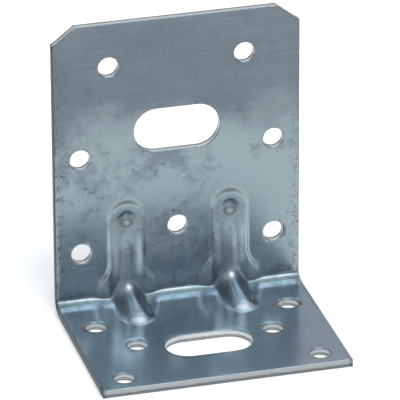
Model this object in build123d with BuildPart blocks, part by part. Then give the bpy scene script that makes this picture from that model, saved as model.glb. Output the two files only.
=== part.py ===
"""Reinforced angle bracket: one blank of galvanised sheet, punched, pressed and folded once.

Millimetres. +X runs along the fold, +Y points into the wall that the tall leg is fixed to,
+Z is up. The origin is the middle of the bracket's footprint, on the floor that it stands on.
"""
import os
from math import cos, radians, sin, sqrt, tan

from build123d import *

# Sheet and outline
sheet_thickness = 2.0
bracket_width = 60.0
leg_height = 73.5
base_depth = 47.25
inside_bend_radius = 2.0
corner_cut_width = 4.6
corner_cut_height = 3.6
shoulder_width = 1.0
shoulder_height = 0.6

# Round nail holes
nail_hole_diameter = 5.0
outer_side_margin = 6.375
inner_row_spacing = 33.0
leg_low_height = 15.0
leg_middle_height = 19.75
leg_high_height = 39.5
leg_top_margin = 11.0
base_near_distance = 15.0
base_middle_distance = 26.5
base_front_margin = 5.25

# Slotted bolt holes
slot_length = 21.0
slot_width = 11.0
leg_slot_height = 45.0
base_slot_distance = 30.0

# Pressed ribs: a keyhole pad on the leg with a flared foot and a dimple
rib_spacing = 25.4
pad_height = 1.2
pad_width = 10.0
pad_wall_angle = 30.0
pad_edge_radius = 0.4
pad_foot_radius = 0.5
pad_flare_height = 9.4
pad_flare_radius = 3.0
pad_flare_angle = 30.0
dimple_height = 23.0
dimple_diameter = 4.6
dimple_floor_diameter = 2.0
dimple_depth = 0.9

# Bead down the middle of the pad, through the fold and out to a rounded toe on the base
bead_top_height = 19.0
bead_fade = 0.02
bead_leg_rise = 1.75
bead_crest_radius = 2.6
bead_crest_hollow = 0.6
bead_flank_angle = 42.0
bead_foot_radius = 1.6
bead_foot_hollow = 2.6
bead_skirt_angle = 8.0
bead_leg_half_width = 3.2
bead_fold_half_width = 6.5
bead_turn_radius = 2.0
bead_turn_steps = 3
bead_slope = 11.0
toe_distance = 13.6
toe_rise = 1.0
toe_half_width = 3.9
toe_crest_radius = 3.2
toe_flank_angle = 28.0

# Reaches of the bodies below the sheet and past its edges, which the cuts take away again
overrun = 5.0
backing = 10.0
bead_sink = 0.3
bead_root = 1.0

back_y = base_depth / 2
fold_centre = sheet_thickness + inside_bend_radius
turn_angle = 90 - bead_slope
turn_distance = sheet_thickness + bead_leg_rise + bead_turn_radius
turn_height = (
    sheet_thickness
    + toe_rise
    + (toe_distance - turn_distance) * tan(radians(bead_slope))
    + bead_turn_radius / cos(radians(bead_slope))
)

# Side view: local x is the distance in front of the wall, local y is the height
side_view = Plane(origin=(0, back_y, 0), x_dir=(0, -1, 0), z_dir=(-1, 0, 0))


def front_view(distance):
    """Plane parallel to the wall: local x runs along the fold, local y is the height."""
    return Plane(origin=(0, back_y - distance, 0), x_dir=(1, 0, 0), z_dir=(0, -1, 0))


def plan_view(height):
    """Plane parallel to the floor: local x runs along the fold, local y leaves the wall."""
    return Plane(origin=(0, back_y, height), x_dir=(1, 0, 0), z_dir=(0, 0, -1))


def rib_view(distance):
    """Front view with its local x counted from the middle of the right-hand rib."""
    return Plane(origin=(rib_spacing / 2, back_y - distance, 0), x_dir=(1, 0, 0), z_dir=(0, -1, 0))


def rib_station(distance, height, lean):
    """Section plane of the right-hand rib: local y leaves the sheet at the angle lean above level."""
    return Plane(
        origin=(rib_spacing / 2, back_y - distance, height),
        x_dir=(1, 0, 0),
        z_dir=(0, -sin(radians(lean)), -cos(radians(lean))),
    )


def hollow_share(skin):
    """0 on the outside of a pressed form and 1 on its hollow side."""
    return (sheet_thickness - skin) / sheet_thickness


def pad_outline(inset):
    """Keyhole: round top, straight sides and a foot that flares out towards the fold."""
    half = pad_width / 2 - inset
    radius = pad_flare_radius + inset
    centre = pad_width / 2 + pad_flare_radius
    bend = radians(pad_flare_angle)
    flare_end = (centre - radius * cos(bend), pad_flare_height - radius * sin(bend))
    flare_middle = (centre - radius * cos(bend / 2), pad_flare_height - radius * sin(bend / 2))
    low_corner = (flare_end[0] + (flare_end[1] + overrun) * tan(bend), -overrun)
    top_middle = (half * cos(bend), dimple_height + half * sin(bend))
    with BuildLine() as outline:
        ThreePointArc((0, dimple_height + half), top_middle, (half, dimple_height))
        Line((half, dimple_height), (half, pad_flare_height))
        ThreePointArc((half, pad_flare_height), flare_middle, flare_end)
        Polyline(flare_end, low_corner, (0, -overrun))
        mirror(about=Plane.YZ)
    return outline.line


def pad_body(skin):
    """Pad with round edges and a dimple. Its hollow is narrower, so the walls keep their thickness."""
    inset = (sheet_thickness - skin) * tan(radians(90 - pad_wall_angle) / 2)
    with BuildPart() as pad:
        with BuildSketch(rib_view(skin)):
            with BuildLine():
                add(pad_outline(inset))
            make_face()
        extrude(amount=pad_height, taper=pad_wall_angle)
        fillet(pad.faces().sort_by(Axis.Y)[0].edges(), pad_edge_radius)
        with Locations(rib_view(skin + pad_height)):
            with Locations((0, dimple_height)):
                Cone(
                    dimple_floor_diameter / 2,
                    dimple_diameter / 2,
                    dimple_depth,
                    align=(Align.CENTER, Align.CENTER, Align.MAX),
                    mode=Mode.SUBTRACT,
                )
    return pad.part


def sheet_below(angle, skin):
    """How far the sheet lies from the centre of the bead's turn, at this angle below level."""
    level = cos(radians(angle))
    upright = sin(radians(angle))
    leg_ray = (turn_distance - skin) / level
    if turn_height - leg_ray * upright > fold_centre:
        return leg_ray
    base_ray = (turn_height - skin) / upright
    if turn_distance - base_ray * level > fold_centre:
        return base_ray
    across = turn_distance - fold_centre
    along = turn_height - fold_centre
    nearest = across * level + along * upright
    return nearest + sqrt(nearest**2 - across**2 - along**2 + (fold_centre - skin) ** 2)


def bead_section(rise, half_width, crest_radius, flank_angle, foot_radius):
    """Cross-section of the bead: round crest, straight flanks, hollow feet and shallow skirts."""
    flank = radians(flank_angle)
    skirt_slope = tan(radians(bead_skirt_angle))
    crest_half = crest_radius * sin(flank)
    shoulder = rise - crest_radius * (1 - cos(flank))
    knee = (shoulder + crest_half * tan(flank) - half_width * skirt_slope) / (tan(flank) - skirt_slope)
    reach = half_width + bead_sink / skirt_slope
    with BuildLine() as outline:
        ThreePointArc((crest_half, shoulder), (0, rise), (-crest_half, shoulder))
        for side in (-1, 1):
            FilletPolyline(
                (side * crest_half, shoulder),
                (side * knee, (half_width - knee) * skirt_slope),
                (side * reach, -bead_sink),
                radius=foot_radius,
            )
        Polyline((-reach, -bead_sink), (-reach, -bead_root), (reach, -bead_root), (reach, -bead_sink))
    return outline.line


def bead_stations(skin):
    """Planes and sections of the bead, from the pad through the fold to the toe."""
    hollow = hollow_share(skin)
    crest_radius = bead_crest_radius + hollow * (bead_crest_hollow - bead_crest_radius)
    foot_radius = bead_foot_radius + hollow * (bead_foot_hollow - bead_foot_radius)
    turn_radius = bead_turn_radius + sheet_thickness - skin
    shape = (crest_radius, bead_flank_angle, foot_radius)
    top = bead_section(pad_height - bead_fade, bead_leg_half_width, *shape)
    stations = [(rib_station(skin, bead_top_height, 0), top)]
    for step in range(bead_turn_steps + 1):
        share = step / bead_turn_steps
        angle = share * turn_angle
        ray = sheet_below(angle, skin)
        plane = rib_station(
            turn_distance - ray * cos(radians(angle)),
            turn_height - ray * sin(radians(angle)),
            angle,
        )
        half_width = bead_leg_half_width + share * (bead_fold_half_width - bead_leg_half_width)
        section = bead_section(ray - turn_radius, half_width, *shape)
        stations.append((plane, section))
    toe = bead_section(toe_rise, toe_half_width, toe_crest_radius, toe_flank_angle, foot_radius)
    stations.append((rib_station(toe_distance, skin, 90), toe))
    return stations


def bead_body(skin):
    """The bead's straight and turning runs, closed by half a turn of its last section."""
    stations = bead_stations(skin)
    with BuildPart() as bead:
        for plane, section in stations:
            with BuildSketch(plane):
                with BuildLine():
                    add(section)
                make_face()
        loft(ruled=True)
    toe_plane, toe_section = stations[-1]
    with BuildPart() as toe:
        with BuildSketch(toe_plane):
            with BuildLine():
                add(toe_section)
            make_face()
            split(bisect_by=Plane.YZ, keep=Keep.TOP)
        revolve(axis=Axis(toe_plane.origin, (0, 0, 1)), revolution_arc=-180)
    return [bead.part, toe.part]


def pressed_form(skin):
    """Everything under the surface that lies this far in front of the outer faces."""
    with BuildPart() as form:
        with BuildSketch(side_view):
            with BuildLine():
                FilletPolyline(
                    (skin, leg_height + overrun),
                    (skin, skin),
                    (base_depth + overrun, skin),
                    radius=fold_centre - skin,
                )
                Polyline(
                    (base_depth + overrun, skin),
                    (base_depth + overrun, -backing),
                    (-backing, -backing),
                    (-backing, leg_height + overrun),
                    (skin, leg_height + overrun),
                )
            make_face()
        extrude(amount=bracket_width / 2 + overrun, both=True)
        pad = pad_body(skin)
        add([pad, mirror(pad, about=Plane.YZ)])
        fillet(form.edges(Select.NEW).filter_by(lambda edge: edge.is_interior), pad_foot_radius)
        for body in bead_body(skin):
            add([body, mirror(body, about=Plane.YZ)])
    return form.part


def blank_outline():
    """Front outline of the blank: cut top corners that end in small shoulders."""
    half = bracket_width / 2
    with BuildLine() as outline:
        right = Polyline(
            (0, leg_height),
            (half - shoulder_width - corner_cut_width, leg_height),
            (half - shoulder_width, leg_height - corner_cut_height),
            (half, leg_height - corner_cut_height - shoulder_height),
            (half, 0),
            (0, 0),
        )
        mirror(right, about=Plane.YZ)
    return outline.line


def nail_holes(spots):
    """Round holes in mirrored pairs, or single ones on the middle line."""
    for across, along in spots:
        with Locations((across, along)):
            Circle(nail_hole_diameter / 2)
        if across:
            with Locations((-across, along)):
                Circle(nail_hole_diameter / 2)


outer_row = bracket_width / 2 - outer_side_margin
inner_row = inner_row_spacing / 2

leg_holes = [
    (outer_row, leg_low_height),
    (0, leg_middle_height),
    (outer_row, leg_high_height),
    (inner_row, leg_height - leg_top_margin),
]
base_holes = [
    (outer_row, base_near_distance),
    (inner_row, base_middle_distance),
    (outer_row, base_depth - base_front_margin),
]

with BuildPart() as bracket:
    add(pressed_form(sheet_thickness))
    add(pressed_form(0), mode=Mode.SUBTRACT)
    with BuildSketch(front_view(0)):
        with BuildLine():
            add(blank_outline())
        make_face()
    extrude(amount=base_depth, mode=Mode.INTERSECT)
    with BuildSketch(front_view(-overrun)):
        nail_holes(leg_holes)
        with Locations((0, leg_slot_height)):
            SlotOverall(slot_length, slot_width)
    extrude(amount=overrun + sheet_thickness + overrun, mode=Mode.SUBTRACT)
    with BuildSketch(plan_view(-overrun)):
        nail_holes(base_holes)
        with Locations((0, base_slot_distance)):
            SlotOverall(slot_length, slot_width)
    extrude(amount=-(overrun + sheet_thickness + overrun), mode=Mode.SUBTRACT)

bracket.part.label = "angle_bracket"

os.makedirs("parts", exist_ok=True)
export_step(bracket.part, "parts/angle_bracket.step")
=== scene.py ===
import math

import bmesh
import bpy
from mathutils import Matrix, Vector


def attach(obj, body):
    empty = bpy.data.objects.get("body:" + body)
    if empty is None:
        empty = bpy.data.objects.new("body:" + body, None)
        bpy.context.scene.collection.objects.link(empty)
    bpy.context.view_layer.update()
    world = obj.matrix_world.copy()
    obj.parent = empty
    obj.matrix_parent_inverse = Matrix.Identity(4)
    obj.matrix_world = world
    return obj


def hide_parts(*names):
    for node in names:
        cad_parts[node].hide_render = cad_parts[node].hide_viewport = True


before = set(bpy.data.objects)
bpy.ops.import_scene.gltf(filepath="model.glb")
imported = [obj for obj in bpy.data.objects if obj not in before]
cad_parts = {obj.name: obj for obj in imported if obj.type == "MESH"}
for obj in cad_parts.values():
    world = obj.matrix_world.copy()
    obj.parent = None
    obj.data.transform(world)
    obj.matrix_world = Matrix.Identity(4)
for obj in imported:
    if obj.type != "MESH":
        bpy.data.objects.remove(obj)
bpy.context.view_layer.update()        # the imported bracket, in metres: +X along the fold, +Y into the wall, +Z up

print("frame loaded:", sorted(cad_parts))


# Shader maths: an operator on a wrapped socket adds a Math node

class Wire:
    def __init__(self, tree, socket):
        self.tree = tree
        self.socket = socket

    def maths(self, operation, first, second):
        return self.tree.add("ShaderNodeMath", {"operation": operation}, {0: first, 1: second})

    def __add__(self, other):
        return self.maths("ADD", self, other)

    def __radd__(self, other):
        return self.maths("ADD", other, self)

    def __sub__(self, other):
        return self.maths("SUBTRACT", self, other)

    def __rsub__(self, other):
        return self.maths("SUBTRACT", other, self)

    def __mul__(self, other):
        return self.maths("MULTIPLY", self, other)

    def __rmul__(self, other):
        return self.maths("MULTIPLY", other, self)

    def lower(self, other):
        return self.maths("MINIMUM", self, other)

    def higher(self, other):
        return self.maths("MAXIMUM", self, other)

    def ramp(self, start, full):        # 0 before start, 1 past full, smooth between, rising or falling
        settings = {"interpolation_type": "SMOOTHSTEP"}
        values = {"Value": self, "From Min": start, "From Max": full}
        return self.tree.add("ShaderNodeMapRange", settings, values)

    def part(self, name):        # another output of the same node
        return Wire(self.tree, self.socket.node.outputs[name])


class Tree:
    def __init__(self, owner):        # a material or a world
        owner.use_nodes = True
        self.nodes = owner.node_tree.nodes
        self.links = owner.node_tree.links
        self.nodes.clear()

    def add(self, kind, settings=None, values=None, output=0):
        node = self.nodes.new(kind)
        for name, setting in (settings or {}).items():
            setattr(node, name, setting)
        for name, value in (values or {}).items():
            if isinstance(value, Wire):
                self.links.new(value.socket, node.inputs[name])
            else:
                node.inputs[name].default_value = value
        return Wire(self, node.outputs[output]) if node.outputs else None

    def mix(self, share, under, over):
        values = {"Factor": share, "A": under, "B": over}
        return self.add("ShaderNodeMix", {"data_type": "RGBA"}, values, output=2)


def between(first, second, share):        # for numbers, and for a share that is a wrapped socket
    return first + (second - first) * share


# Hot-dip galvanised steel: blue-grey zinc with patches and specks, and cut edges that are bright in front and torn
# behind. Light and shade are painted in too:
# a darker streaked band of painted shade across the top of the leg, a lighter, bluer painted reflection low on it,
# painted shade on the side edges, rims, pad ridges, dimples and fold, and painted highlights at the toes and beside
# the beads

galvanised = {
    # colours
    "leg": (0.270, 0.331, 0.355, 1.0),
    "base": (0.252, 0.303, 0.360, 1.0),
    "paintedShadeTop": (0.130, 0.155, 0.179, 1.0),         # painted shade: a darker band across the top of the leg
    "low": (0.40, 0.51, 0.59, 1.0),             # painted reflection: a little bluer and lighter low on the leg
    "dark": (0.10, 0.128, 0.15, 1.0),           # patches and specks
    "shear": (0.60, 0.64, 0.66, 1.0),           # a punched edge in front
    "tear": (0.27, 0.28, 0.285, 1.0),           # and behind
    # painted shade on the sheet's side edges and the base's front edge
    "paintedShadeSideEdge": (0.06, 0.075, 0.082, 1.0),
    # painted shade on the pad's ridge, in the dimples and along the fold
    "paintedShade": (0.17, 0.205, 0.225, 1.0),
    # painted shade that dulls the highlight on the eased rims
    "rim": (0.16, 0.19, 0.215, 1.0),
    "paintedHighlight": (0.66, 0.77, 0.79, 1.0),            # painted highlight at the toes and beside the beads
    # places on the bracket, in metres: where each starts, and where it is full
    "baseEdge": (0.0205, 0.0185),               # from the leg towards the room
    "bandEdge": (0.033, 0.057),                 # up the leg
    "bandTilt": 0.12,
    "bandWaver": 0.035,
    "lowEdge": (0.022, 0.014),                  # down the leg
    "dirtyEdge": (0.0262, 0.02944),             # towards both sides, where specks gather
    # noise patterns with their scales per metre, and the values at which each starts and is full
    "clouds": {"Scale": 75.0, "Detail": 3.0, "Roughness": 0.55},
    "blotches": {"Scale": 330.0, "Detail": 5.0, "Roughness": 0.65, "Distortion": 0.8},
    "grain": {"Scale": 2600.0, "Detail": 2.0, "Roughness": 0.5},
    "specks": {"Scale": 1500.0, "Detail": 2.0, "Roughness": 0.6},
    "streaks": {"Scale": 1.0, "Detail": 3.0, "Roughness": 0.6},
    "streakStretch": (70.0, 70.0, 1500.0),
    "patchClouds": 0.55,                        # the rest of a patch is blotches
    "patchEdge": (-0.03, 0.10),
    "speckEdge": (0.10, 0.16),
    "dirtySpeckEdge": (0.02, 0.12),
    "tornEdge": (0.38, 0.50),                   # in shares of the thickness
    "tornWaver": 0.35,
    # how strongly each shows
    "bandStrength": 0.88,
    "bandStreaks": 0.35,
    "bandBlotches": 0.5,
    "lowStrength": 0.15,
    "cloudStrength": 0.5,
    "blotchStrength": 0.25,
    "patchStrength": 0.36,
    "speckStrength": 0.75,
    "paintedShadeStrength": 0.5,
    "paintedHighlightStrength": 0.7,
    "rimStrength": 0.85,
    # how much weaker patches and specks are there
    "lowCleaner": 0.6,
    "bandCleaner": 0.3,
    "baseCleaner": 0.8,
    # gloss and relief
    "legRoughness": 0.27,
    "baseRoughness": 0.19,
    "blotchRoughness": 0.12,
    "cutRoughness": 0.25,                       # more on punched edges
    "drawnRoughness": 0.17,                     # more where the sheet is stretched
    "reliefBlotches": 0.7,                      # the rest of the relief is grain
    "baseSmoother": 0.6,
    "bumpStrength": 0.5,
    "bumpHeight": 0.000022,
}

faceMarks = ("cut", "side", "rim")
vertMarks = ("deep", "paintedShade", "drawn", "paintedHighlight")


def punchedEdge(tree, marks, blotches):
    torn = (marks["deep"] + blotches * galvanised["tornWaver"]).ramp(*galvanised["tornEdge"])
    edge = tree.mix(torn, galvanised["tear"], galvanised["shear"])
    # painted shade on the sheet's side edges and front edge
    return tree.mix(marks["side"], edge, galvanised["paintedShadeSideEdge"])


def zincBump(tree, blotches, grain, onBase):
    relief = blotches * galvanised["reliefBlotches"] + grain * (1 - galvanised["reliefBlotches"])
    relief = relief * (1 - onBase * galvanised["baseSmoother"])
    values = {"Height": relief, "Strength": galvanised["bumpStrength"], "Distance": galvanised["bumpHeight"]}
    return tree.add("ShaderNodeBump", {}, values)


def makeGalvanised(name):
    zinc = galvanised
    material = bpy.data.materials.new(name)
    tree = Tree(material)
    place = tree.add("ShaderNodeTexCoord", output="Object")
    across = tree.add("ShaderNodeSeparateXYZ", {}, {"Vector": place})
    towardsWall = across.part("Y")
    height = across.part("Z")
    marks = {
        mark: tree.add("ShaderNodeAttribute", {"attribute_name": mark}, output="Fac")
        for mark in faceMarks + vertMarks
    }

    def noise(pattern, vector):        # it swings about 0
        return tree.add("ShaderNodeTexNoise", {}, {"Vector": vector, **zinc[pattern]}) - 0.5

    clouds = noise("clouds", place)
    blotches = noise("blotches", place)
    grain = noise("grain", place)
    specks = noise("specks", place)
    stretched = tree.add("ShaderNodeMapping", {}, {"Vector": place, "Scale": zinc["streakStretch"]})
    streaks = noise("streaks", stretched)

    # where the base, the leg's top band of painted shade, its foot with the painted reflection, and its dirty sides
    # are
    onBase = towardsWall.ramp(*zinc["baseEdge"])
    onLeg = 1 - onBase
    bandHeight = height + across * zinc["bandTilt"] + clouds * zinc["bandWaver"]
    band = zinc["bandStrength"] + streaks * zinc["bandStreaks"] - blotches * zinc["bandBlotches"]
    band = bandHeight.ramp(*zinc["bandEdge"]) * onLeg * band
    lowLeg = height.ramp(*zinc["lowEdge"])
    dirtySide = (across * across).ramp(*(edge ** 2 for edge in zinc["dirtyEdge"]))

    # patches and specks
    patches = (clouds * zinc["patchClouds"] + blotches * (1 - zinc["patchClouds"])).ramp(*zinc["patchEdge"])
    spots = specks.ramp(*zinc["speckEdge"]) * patches * (1 - lowLeg * zinc["lowCleaner"])
    spots = spots + dirtySide * specks.ramp(*zinc["dirtySpeckEdge"])
    dark = patches * zinc["patchStrength"] + spots * zinc["speckStrength"]
    dark = dark * (1 - band * zinc["bandCleaner"]) * (1 - onBase * zinc["baseCleaner"])
    dark = clouds * zinc["cloudStrength"] + blotches * zinc["blotchStrength"] + dark

    colour = tree.mix(onBase, zinc["leg"], zinc["base"])
    # painted shade in a streaked band across the top of the leg
    colour = tree.mix(band, colour, zinc["paintedShadeTop"])
    # painted reflection, lighter and bluer low on the leg
    colour = tree.mix(lowLeg * onLeg * zinc["lowStrength"], colour, zinc["low"])
    colour = tree.mix(dark.higher(0.0), colour, zinc["dark"])
    # painted shade on the pad's ridge, dimples and fold, painted highlights at the toes and beside the beads, and
    # painted shade over the rims' highlight
    for mark in ("paintedShade", "paintedHighlight", "rim"):
        colour = tree.mix(marks[mark] * zinc[mark + "Strength"], colour, zinc[mark])
    onEdge = (marks["cut"] + marks["rim"] * marks["side"]).lower(1.0)
    colour = tree.mix(onEdge, colour, punchedEdge(tree, marks, blotches))

    roughness = between(zinc["legRoughness"], zinc["baseRoughness"], onBase)
    roughness = roughness + blotches * zinc["blotchRoughness"]
    roughness = roughness + marks["cut"] * zinc["cutRoughness"] + marks["drawn"] * zinc["drawnRoughness"]
    bump = zincBump(tree, blotches, grain, onBase)
    values = {"Base Color": colour, "Metallic": 1.0, "Roughness": roughness, "Normal": bump}
    shader = tree.add("ShaderNodeBsdfPrincipled", {}, values)
    tree.add("ShaderNodeOutputMaterial", {}, {"Surface": shader})
    return material


# The bracket is made as the real one is: a flat blank is punched, its rims are eased, and then it is
# pressed and folded. On the flat sheet, in millimetres, x runs across, y up the leg and down past the
# fold along the base, and z through the thickness, from the back to the front

millimetre = 0.001

blankSizes = {
    "width": 60.0,
    "legHeight": 73.5,
    "baseDepth": 47.25,
    "thickness": 2.0,
    "foldRadius": 2.0,          # inside the bend
    "cornerCut": [(24.4, 73.5), (29.0, 69.9), (30.0, 69.3), (33.0, 69.3), (33.0, 76.0), (24.4, 76.0)],
    "rimWidth": 0.18,
    "rimSteps": 2,
    "rimAngle": 60.0,           # an edge sharper than this is a rim
    "rimLevel": 0.1,            # if its ends are as near as this in height
}

foldCentre = blankSizes["thickness"] + blankSizes["foldRadius"]
foldLength = math.pi / 2 * (blankSizes["foldRadius"] + blankSizes["thickness"] / 2)
foldMiddle = foldCentre - foldLength / 2
foldEnd = foldCentre - foldLength
backPlane = blankSizes["baseDepth"] / 2


def flatPlace(distance):        # where a distance along the base lies on the flat sheet, and the other way
    return 2 * foldCentre - foldLength - distance


holeSizes = {
    "nailRadius": 2.5,
    "legNails": [(23.625, 15.0), (0.0, 19.75), (23.625, 39.5), (16.5, 62.5)],        # from the underside
    "baseNails": [(23.625, 15.0), (16.5, 26.5), (23.625, 42.0)],        # from the wall
    "slotHalfLength": 10.5,
    "slotRadius": 5.5,
    "legSlot": 45.0,
    "baseSlot": 30.0,
    "roundSides": 64,
    "cutDepth": 12.0,
}


def newObject(name, shape):
    mesh = bpy.data.meshes.new(name)
    shape.to_mesh(mesh)
    shape.free()
    piece = bpy.data.objects.new(name, mesh)
    bpy.context.scene.collection.objects.link(piece)
    return piece


def addPrism(shape, outline):
    corners = [shape.verts.new((x, y, -holeSizes["cutDepth"] / 2)) for x, y in outline]
    grown = bmesh.ops.extrude_face_region(shape, geom=[shape.faces.new(corners)], use_keep_orig=True)
    lifted = [part for part in grown["geom"] if isinstance(part, bmesh.types.BMVert)]
    bmesh.ops.translate(shape, vec=(0, 0, holeSizes["cutDepth"]), verts=lifted)


def addRound(shape, x, y, radius, halfLength=0.0):        # a round cutter, or a slot where it has a length
    sides = holeSizes["roundSides"]
    halfSide = Matrix.Rotation(math.pi / sides, 4, "Z")
    made = bmesh.ops.create_cone(
        shape, cap_ends=True, segments=sides, radius1=radius, radius2=radius,
        depth=holeSizes["cutDepth"], matrix=Matrix.Translation((x, y, 0)) @ halfSide,
    )
    if halfLength:
        for vert in made["verts"]:
            vert.co.x += math.copysign(halfLength - radius, vert.co.x - x)


def makeCutters():
    shape = bmesh.new()
    for side in (-1, 1):
        addPrism(shape, [(side * x, y) for x, y in blankSizes["cornerCut"]])
    nails = holeSizes["legNails"] + [(x, flatPlace(distance)) for x, distance in holeSizes["baseNails"]]
    for x, y in nails:
        for side in (-1, 1) if x else (1,):
            addRound(shape, side * x, y, holeSizes["nailRadius"])
    for y in (holeSizes["legSlot"], flatPlace(holeSizes["baseSlot"])):
        addRound(shape, 0, y, holeSizes["slotRadius"], holeSizes["slotHalfLength"])
    bmesh.ops.recalc_face_normals(shape, faces=shape.faces)
    return newObject("cutters", shape)


def makeBlank():
    shape = bmesh.new()
    low = flatPlace(blankSizes["baseDepth"])
    high = blankSizes["legHeight"]
    bmesh.ops.create_cube(shape, size=1.0)
    bmesh.ops.scale(shape, vec=(blankSizes["width"], high - low, blankSizes["thickness"]), verts=shape.verts)
    bmesh.ops.translate(shape, vec=(0, (high + low) / 2, blankSizes["thickness"] / 2), verts=shape.verts)
    blank = newObject("pressedBracket", shape)
    cutters = makeCutters()
    punch = blank.modifiers.new("punch", "BOOLEAN")
    punch.operation = "DIFFERENCE"
    punch.solver = "EXACT"
    punch.object = cutters
    graph = bpy.context.evaluated_depsgraph_get()
    graph.update()
    punched = bpy.data.meshes.new_from_object(blank.evaluated_get(graph))
    blank.modifiers.clear()
    blank.data = punched
    bpy.data.objects.remove(cutters)
    return blank


def isRim(edge):
    first, second = edge.verts
    level = abs(first.co.z - second.co.z) < blankSizes["rimLevel"]
    return level and edge.calc_face_angle() > math.radians(blankSizes["rimAngle"])


def easeRims(shape):
    bmesh.ops.bevel(
        shape, geom=[edge for edge in shape.edges if isRim(edge)], offset=blankSizes["rimWidth"],
        segments=blankSizes["rimSteps"], profile=0.5, affect="EDGES", material=-1,
    )


# Cuts across the flat sheet, close together where it is pressed and folded

cutSpacing = {
    "acrossRib": 0.3,
    "acrossFlat": 1.6,
    "ribStart": 4.2,        # from the bracket's middle
    "ribEnd": 21.2,
    "alongLeg": 0.33,
    "alongFold": 0.22,
    "alongBase": 0.35,
    "alongFlat": 2.8,
    "pressedTop": 30.0,
    "pressedReach": 20.0,
    "snap": 0.00001,        # a vertex as near a cut as this is on it
}


def evenSteps(start, end, size):
    count = max(1, round(abs(end - start) / size))
    return [start + (end - start) * step / count for step in range(count)]


def cutGrid(shape):
    cuts = cutSpacing
    pressedEnd = flatPlace(cuts["pressedReach"])
    middle = evenSteps(-cuts["ribStart"], cuts["ribStart"], cuts["acrossFlat"])[1:]
    side = evenSteps(cuts["ribStart"], cuts["ribEnd"], cuts["acrossRib"])
    side += evenSteps(cuts["ribEnd"], blankSizes["width"] / 2, cuts["acrossFlat"])
    across = side + [-x for x in side] + middle
    along = evenSteps(blankSizes["legHeight"], cuts["pressedTop"], cuts["alongFlat"])[1:]
    along += evenSteps(cuts["pressedTop"], foldCentre, cuts["alongLeg"])
    along += evenSteps(foldCentre, foldEnd, cuts["alongFold"])
    along += evenSteps(foldEnd, pressedEnd, cuts["alongBase"])
    along += evenSteps(pressedEnd, flatPlace(blankSizes["baseDepth"]), cuts["alongFlat"])
    planes = [((x, 0, 0), (1, 0, 0)) for x in across] + [((0, y, 0), (0, 1, 0)) for y in along]
    for place, normal in planes:
        parts = shape.verts[:] + shape.edges[:] + shape.faces[:]
        bmesh.ops.bisect_plane(shape, geom=parts, dist=cuts["snap"], plane_co=place, plane_no=normal)


# The pressed ribs: a keyhole pad on the leg, and a bead down it, through the fold and out to a toe.
# Sizes are in millimetres and degrees, on the front of the sheet unless a note says otherwise

ribSizes = {
    "spacing": 25.4,
    "blend": 5.0,               # a higher power blends the forms over a shorter way
    # pad
    "padHeight": 0.9,
    "padTopHeight": 0.34,
    "padFullHeight": 10.0,      # below this height on the leg the pad has its full height
    "padTop": 23.0,
    "padHalfWidth": 4.35,       # to the middle of the wall
    "hollowHalfWidth": 3.3,     # the same behind
    "padWall": 0.95,
    "padTopWall": 1.8,
    "padFade": (9.0, 6.0),      # its foot fades out sideways into the fold
    # the flares at the pad's foot
    "flareHeight": 9.4,
    "flareAngle": 38.0,
    "flareBlend": 1.6,
    "flareWall": 2.4,           # the walls widen into the flares
    "flareWallHeight": 5.4,
    "flareLess": 0.6,           # how much lower the flares end
    "flareWidth": 3.5,
    "cornerHeight": 2.6,        # where the flares round off along the fold
    "cornerBlend": 3.2,
    # dimple
    "dimpleRadius": 2.5,
    "dimpleWall": 2.1,
    "dimpleLean": 0.4,          # steeper above, shallower below
    "dimpleMiddle": 0.1,        # nearer the middle than this the lean fades
    "dimpleDepth": 0.85,
    "dimpleBack": 0.34,         # its depth behind
    # bead
    "beadTop": 21.0,
    "beadStart": (-0.1, 0.4),   # where it rises from the leg, in shares of the way to the turn
    "beadTopRise": 0.55,
    "beadLegRise": 1.75,
    "beadTurnRadius": 3.4,
    "beadSlope": 11.0,
    "beadCrest": 1.7,           # radius of the crest
    "toeCrest": 2.3,
    "toeFlat": 0.6,             # half the width of its flat top
    "crestHollowLess": 1.3,     # how much less the radius is behind
    "beadFlank": 56.0,
    "beadFoot": 1.1,
    "beadFootShare": 0.7,       # the most that the soft foot takes of a low bead
    "toeDistance": 13.6,
    "toeRise": 1.4,
    # the fold opens out beside the bead
    "footHeight": 0.8,
    "footWidth": 9.0,
    "footReach": 5.3,
    # the base rises a little into the fold, from farther out beside the beads
    "skirtSlope": 0.105,
    "skirtStart": 0.7,          # before the fold's end
    "skirtReach": 2.9,
    "skirtWiden": 1.6,
    "skirtWidth": 9.0,
    # and is drawn up a little round the beads
    "dishHeight": 0.10,
    "dishWidth": 9.0,
    "dishReach": 17.0,
}

# The bead's crest turns from the leg to the base about one centre, so far from the wall and so high
turnDistance = blankSizes["thickness"] + ribSizes["beadLegRise"] + ribSizes["beadTurnRadius"]
turnEnd = math.radians(90 - ribSizes["beadSlope"])
turnHeight = (
    blankSizes["thickness"] + ribSizes["toeRise"]
    + (ribSizes["toeDistance"] - turnDistance) * math.tan(math.radians(ribSizes["beadSlope"]))
    + ribSizes["beadTurnRadius"] / math.cos(math.radians(ribSizes["beadSlope"]))
)


def bell(share, power=1.0):        # 1 at the middle, 0 from the edge on, level at both
    return 0.5 + 0.5 * math.cos(math.pi * min(abs(share), 1.0) ** power)


def ramp(value, start, full):        # 0 before start, 1 past full, smooth between, rising or falling
    share = min(max((value - start) / (full - start), 0.0), 1.0)
    return share * share * (3 - 2 * share)


def softLower(first, second, width):        # the lower of two, rounded off where they cross
    near = max(width - abs(first - second), 0.0) / width
    return min(first, second) - near * near * width / 4


def hollowShare(deep):        # 0 at the front of the sheet, 1 at the back
    return 1 - deep / blankSizes["thickness"]


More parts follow.
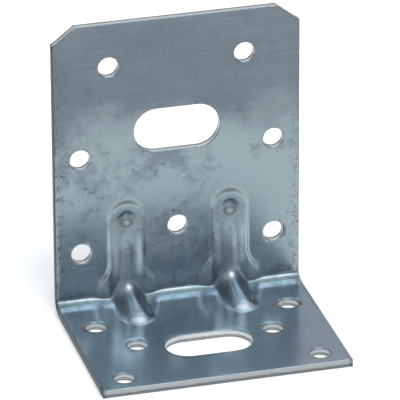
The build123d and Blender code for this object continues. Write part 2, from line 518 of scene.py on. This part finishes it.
def sheetPlace(along, deep):        # distance from the wall and height of a point of the plain folded sheet
    if along >= foldCentre:
        return deep, along
    if along >= foldEnd:
        angle = (foldCentre - along) / foldLength * math.pi / 2
        radius = foldCentre - deep
        return foldCentre - radius * math.cos(angle), foldCentre - radius * math.sin(angle)
    return flatPlace(along), deep


def pressAim(distance, height):        # the way the punch lifts the sheet, and how far the turn's centre is
    if height >= turnHeight:
        return 1.0, 0.0, turnDistance - distance
    if distance >= turnDistance:
        return 0.0, 1.0, turnHeight - height
    ray = math.hypot(turnDistance - distance, turnHeight - height)
    return (turnDistance - distance) / ray, (turnHeight - height) / ray, ray


def padLift(across, distance, height, aim, deep):
    rib = ribSizes
    half = between(rib["padHalfWidth"], rib["hollowHalfWidth"], hollowShare(deep))
    pastHalf = abs(across) - half
    outside = pastHalf
    wall = rib["padWall"]
    if height > rib["padTop"]:
        outside = math.hypot(across, height - rib["padTop"]) - half
        wall = between(wall, rib["padTopWall"], ramp(height, rib["padTop"], rib["padTop"] + half))
    wall = between(wall, rib["flareWall"], ramp(height, rib["flareHeight"], rib["flareWallHeight"]))
    flare = math.radians(rib["flareAngle"])
    flared = (pastHalf - (rib["flareHeight"] - height) * math.tan(flare)) * math.cos(flare)
    outside = softLower(outside, flared, rib["flareBlend"])
    outside = softLower(outside, height - rib["cornerHeight"], rib["cornerBlend"])
    upPad = ramp(height, rib["padFullHeight"], rib["padTop"])
    raised = between(rib["padHeight"], rib["padTopHeight"], upPad)
    raised *= 1 - rib["flareLess"] * ramp(pastHalf, 0.0, rib["flareWidth"])
    front = deep + raised - distance
    if aim <= 0 or front <= 0:
        return 0.0
    return front / aim * ramp(outside, wall / 2, -wall / 2) * ramp(abs(across), *rib["padFade"])


def dimpleDrop(across, height, deep):
    rib = ribSizes
    away = math.hypot(across, height - rib["padTop"])
    lean = rib["dimpleLean"] * (rib["padTop"] - height) / max(away, rib["dimpleMiddle"])
    depth = between(rib["dimpleDepth"], rib["dimpleBack"], hollowShare(deep))
    return depth * ramp(away, rib["dimpleRadius"], rib["dimpleRadius"] - rib["dimpleWall"] - lean)


def beadSection(across, rise, deep, out=0.0):        # round crest, straight flanks, soft foot
    rib = ribSizes
    if rise <= 0:
        return 0.0
    crest = between(rib["beadCrest"], rib["toeCrest"], out) - rib["crestHollowLess"] * hollowShare(deep)
    flank = math.tan(math.radians(rib["beadFlank"]))
    rounding = crest * flank * flank
    besideFlat = max(abs(across) - rib["toeFlat"] * out, 0.0)
    above = rise + rounding - math.hypot(rounding, flank * besideFlat)
    return -softLower(-above, 0.0, min(rib["beadFoot"], rise * rib["beadFootShare"]))


def beadLift(across, distance, height, ray, deep):
    rib = ribSizes
    if height >= turnHeight:        # down the leg
        grown = (rib["beadTop"] - height) / (rib["beadTop"] - turnHeight)
        rise = between(rib["beadTopRise"], rib["beadLegRise"], grown)
        return beadSection(across, rise * ramp(grown, *rib["beadStart"]), deep)
    if distance < turnDistance:        # round the turn
        radius = rib["beadTurnRadius"] + blankSizes["thickness"] - deep
        angle = math.atan2(turnHeight - height, turnDistance - distance)
        return beadSection(across, ray - radius / math.cos(max(angle - turnEnd, 0.0)), deep)
    slope = math.tan(math.radians(rib["beadSlope"]))        # and down the base to the toe
    rise = rib["toeRise"] + (rib["toeDistance"] - distance) * slope
    out = min((distance - turnDistance) / (rib["toeDistance"] - turnDistance), 1.0)
    beyond = max(distance - rib["toeDistance"], 0.0)
    return beadSection(math.hypot(across, beyond), rise, deep, out)


def footLift(across, along):        # the fold opens out beside the bead
    rib = ribSizes
    pastFold = foldMiddle - along
    return rib["footHeight"] * bell(across / rib["footWidth"]) * bell(pastFold / rib["footReach"])


def skirtLift(across, along):        # the base rises into the fold
    rib = ribSizes
    reach = rib["skirtReach"] + rib["skirtWiden"] * bell(across / rib["skirtWidth"])
    return rib["skirtSlope"] * reach * bell((foldEnd - along + rib["skirtStart"]) / reach)


def dishLift(across, along):        # the base is drawn up round the bead
    rib = ribSizes
    half = rib["dishReach"] / 2
    return rib["dishHeight"] * bell(across / rib["dishWidth"]) * bell((foldCentre - along) / half - 1)


def pressAndFold(vert):
    rib = ribSizes
    x, along, deep = vert.co
    across = abs(x) - rib["spacing"] / 2
    distance, height = sheetPlace(along, deep)
    aimOut, aimUp, ray = pressAim(distance, height)
    lifts = [
        padLift(across, distance, height, aimOut, deep),
        beadLift(across, distance, height, ray, deep),
        footLift(across, along),
        skirtLift(across, along),
    ]
    lift = sum(part ** rib["blend"] for part in lifts) ** (1 / rib["blend"])
    lift += dishLift(across, along) - dimpleDrop(across, height, deep)
    vert.co = (x, backPlane - distance - aimOut * lift, height + aimUp * lift)


# Marks for the material. Faces: punched edges, the sheet's own side edges, which get painted shade, and eased rims,
# whose highlight is dulled with painted shade.
# Vertices: how near the front of the sheet they are, painted shade on the pad's ridge, dimples and fold, stretched
# places, and painted highlights at the toes and beside the beads

markSizes = {        # in millimetres; a pair is where a mark starts and where it is full
    "cutFacing": 0.05,          # a face that turns less than this towards the front is a punched edge
    "flatFacing": 0.99,         # one that turns more is a rim, up to this
    "frontSide": 0.45,          # how far the base's front edge is marked as a side edge, with its painted shade
    # where the painted shade goes: down the pad's ridge, in the dimples and along the fold
    "ridgeTop": (0.0, 5.0),     # below the bead's top
    "ridgeFoot": (7.0, 10.0),
    "ridgeShift": 0.3,
    "ridgeWidth": 2.3,
    "paintedShadeInFold": 0.6,
    "paintedShadeInDimple": 1.4,
    "dimpleEdge": (2.7, 2.1),
    "dimpleMiddle": (0.0, 0.7),
    "foldWidth": 2.4,
    "drawnBeadWidth": 5.0,
    "drawnBeadTop": (14.0, 10.0),
    "drawnBeadEnd": (13.0, 11.0),        # past the middle of the fold
    "drawnFlareMiddle": 6.2,
    "drawnFlareWidth": 2.4,
    "drawnFlareTop": (9.0, 7.0),
    "drawnFlareFoot": (1.0, 3.0),
    "drawnDimple": 0.8,
    "drawnDimpleWidth": 3.4,
    "drawnDimplePower": 2.0,
    # where the painted highlights go: round the toes and beside the beads
    "highlightToeShift": 1.8,
    "highlightToeWidth": 2.8,
    "highlightSideMiddle": 3.0,
    "highlightSideWidth": 1.3,
    "highlightSideTop": (20.0, 14.0),
    "highlightSideFoot": (7.0, 10.0),
    "highlightLeft": 0.6,            # less painted highlight on the left of each bead
}


def markFace(face):
    mark = markSizes
    facing = abs(face.normal.z)
    middle = face.calc_center_median()
    onSide = abs(middle.x) > blankSizes["width"] / 2 - blankSizes["rimWidth"]
    onFront = middle.y < flatPlace(blankSizes["baseDepth"]) + blankSizes["rimWidth"]
    return {
        "cut": float(facing < mark["cutFacing"]),
        "side": 1.0 if onSide else mark["frontSide"] if onFront else 0.0,
        "rim": float(mark["cutFacing"] < facing < mark["flatFacing"]),
    }


def markVert(vert):
    mark = markSizes
    x, along, deep = vert.co
    across = abs(x) - ribSizes["spacing"] / 2
    pastFold = foldMiddle - along
    fromDimple = math.hypot(across, along - ribSizes["padTop"])
    fromToe = math.hypot(across, flatPlace(along) - ribSizes["toeDistance"] - mark["highlightToeShift"])
    # painted shade along the fold, down the pad's ridge and in the dimple
    inFold = bell(pastFold / mark["foldWidth"])
    onRidge = bell((across - mark["ridgeShift"]) / mark["ridgeWidth"])
    onRidge *= ramp(ribSizes["beadTop"] - along, *mark["ridgeTop"]) * ramp(along, *mark["ridgeFoot"])
    inDimple = ramp(fromDimple, *mark["dimpleEdge"]) * ramp(fromDimple, *mark["dimpleMiddle"])
    roundDimple = bell(fromDimple / mark["drawnDimpleWidth"], mark["drawnDimplePower"])
    onBead = bell(across / mark["drawnBeadWidth"])
    onBead *= ramp(along, *mark["drawnBeadTop"]) * ramp(pastFold, *mark["drawnBeadEnd"])
    onFlare = bell((abs(across) - mark["drawnFlareMiddle"]) / mark["drawnFlareWidth"])
    onFlare *= ramp(along, *mark["drawnFlareTop"]) * ramp(along, *mark["drawnFlareFoot"])
    # painted highlights beside the bead, and round the toe from fromToe
    besideBead = bell((abs(across) - mark["highlightSideMiddle"]) / mark["highlightSideWidth"])
    besideBead *= ramp(along, *mark["highlightSideTop"]) * ramp(along, *mark["highlightSideFoot"])
    if across * x <= 0:
        besideBead *= mark["highlightLeft"]
    return {
        "deep": deep / blankSizes["thickness"],
        "paintedShade": max(onRidge, mark["paintedShadeInDimple"] * inDimple, mark["paintedShadeInFold"] * inFold),
        "drawn": max(onBead, onFlare, inFold, mark["drawnDimple"] * roundDimple),
        "paintedHighlight": max(bell(fromToe / mark["highlightToeWidth"]), besideBead),
    }


def markSheet(shape):
    rounds = ((shape.faces, faceMarks, markFace), (shape.verts, vertMarks, markVert))
    for parts, names, marksOf in rounds:
        layers = {name: parts.layers.float.new(name) for name in names}
        for part in parts:
            for name, value in marksOf(part).items():
                part[layers[name]] = value


def makeBracket():
    bracket = makeBlank()
    print("blank is punched")
    shape = bmesh.new()
    shape.from_mesh(bracket.data)
    easeRims(shape)
    cutGrid(shape)
    shape.normal_update()
    markSheet(shape)
    for vert in shape.verts:
        pressAndFold(vert)
    bmesh.ops.scale(shape, vec=(millimetre, millimetre, millimetre), verts=shape.verts)
    for face in shape.faces:
        face.smooth = True
    shape.to_mesh(bracket.data)
    shape.free()
    weighted = bracket.modifiers.new("weightedNormals", "WEIGHTED_NORMAL")
    weighted.keep_sharp = True
    bracket.data.materials.clear()
    bracket.data.materials.append(makeGalvanised("galvanisedSteel"))
    return bracket


bracket = makeBracket()
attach(bracket, "root")
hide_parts("angle_bracket")
print("bracket is pressed and folded:", len(bracket.data.polygons), "faces")


# Floor and lights

floorSettings = {
    "side": 6.0,
    "colour": (0.95, 0.95, 0.95, 1.0),
    "roughness": 0.9,
    "specular": 0.1,
}


def makeFloor():
    bpy.ops.mesh.primitive_plane_add(size=floorSettings["side"], location=(0, 0, 0))
    floor = bpy.context.object
    floor.name = "floor"
    material = bpy.data.materials.new("paleFloor")
    tree = Tree(material)
    shader = tree.add("ShaderNodeBsdfPrincipled", {}, {
        "Base Color": floorSettings["colour"],
        "Roughness": floorSettings["roughness"],
        "Specular IOR Level": floorSettings["specular"],
    })
    tree.add("ShaderNodeOutputMaterial", {}, {"Surface": shader})
    floor.data.materials.append(material)
    return floor


floor = makeFloor()

# Degrees right of the front and up, distance and size in metres, power in watts
studio = [
    {"name": "overhead", "turn": 0, "up": 88, "distance": 1.6, "size": (2.4, 2.4), "power": 7.0},
    {"name": "frontStrip", "turn": 11, "up": 46, "distance": 1.5, "size": (1.5, 0.36), "power": 13.4},
    {"name": "frontHigh", "turn": 11, "up": 70, "distance": 1.5, "size": (1.2, 0.35), "power": 3.0},
    {"name": "backFill", "turn": 180, "up": 45, "distance": 1.8, "size": (2.0, 0.9), "power": 1.0},
]


def makeLight(settings):
    turn = math.radians(settings["turn"])
    up = math.radians(settings["up"])
    place = Vector((math.sin(turn) * math.cos(up), -math.cos(turn) * math.cos(up), math.sin(up)))
    place *= settings["distance"]
    light = bpy.data.lights.new(settings["name"], "AREA")
    light.shape = "RECTANGLE"
    light.size, light.size_y = settings["size"]
    light.energy = settings["power"]
    lamp = bpy.data.objects.new(settings["name"], light)
    lamp.location = place
    lamp.rotation_euler = place.to_track_quat("Z", "Y").to_euler()
    bpy.context.scene.collection.objects.link(lamp)


for lightSettings in studio:
    makeLight(lightSettings)


# The room is dim towards the horizon and lighter higher up

room = {
    "colour": (0.93, 0.97, 1.0, 1.0),
    "dim": 0.12,
    "light": 0.85,
    "rise": (0.18, 0.45),        # the upward part of a direction, where dim ends and light starts
}


def makeRoom():
    world = bpy.data.worlds.new("room")
    tree = Tree(world)
    aim = tree.add("ShaderNodeTexCoord", output="Generated")
    up = tree.add("ShaderNodeSeparateXYZ", {}, {"Vector": aim}).part("Z")
    strength = between(room["dim"], room["light"], up.ramp(*room["rise"]))
    glow = tree.add("ShaderNodeBackground", {}, {"Color": room["colour"], "Strength": strength})
    tree.add("ShaderNodeOutputWorld", {}, {"Surface": glow})
    bpy.context.scene.world = world


makeRoom()
bpy.context.scene.view_settings.view_transform = "Standard"
print("floor and lights are set")


# Camera at the photograph's angle: a long lens, looking down and from the left

cameraSettings = {
    "place": (-0.275975, -1.021525, 0.537376),
    "turn": 15.10,        # degrees right of straight ahead
    "down": 25.35,
    "roll": -0.28,
    "lens": 452.8,
    "sensor": 36.0,
    "clipStart": 0.05,
    "clipEnd": 50.0,
}


def makeCamera():
    data = bpy.data.cameras.new("camera")
    data.lens = cameraSettings["lens"]
    data.sensor_width = cameraSettings["sensor"]
    data.clip_start = cameraSettings["clipStart"]
    data.clip_end = cameraSettings["clipEnd"]
    camera = bpy.data.objects.new("camera", data)
    turned = Matrix.Rotation(math.radians(-cameraSettings["turn"]), 4, "Z")
    tipped = Matrix.Rotation(math.radians(90 - cameraSettings["down"]), 4, "X")
    rolled = Matrix.Rotation(math.radians(cameraSettings["roll"]), 4, "Z")
    camera.matrix_world = Matrix.Translation(cameraSettings["place"]) @ turned @ tipped @ rolled
    bpy.context.scene.collection.objects.link(camera)
    bpy.context.scene.camera = camera


makeCamera()
print("camera is set")
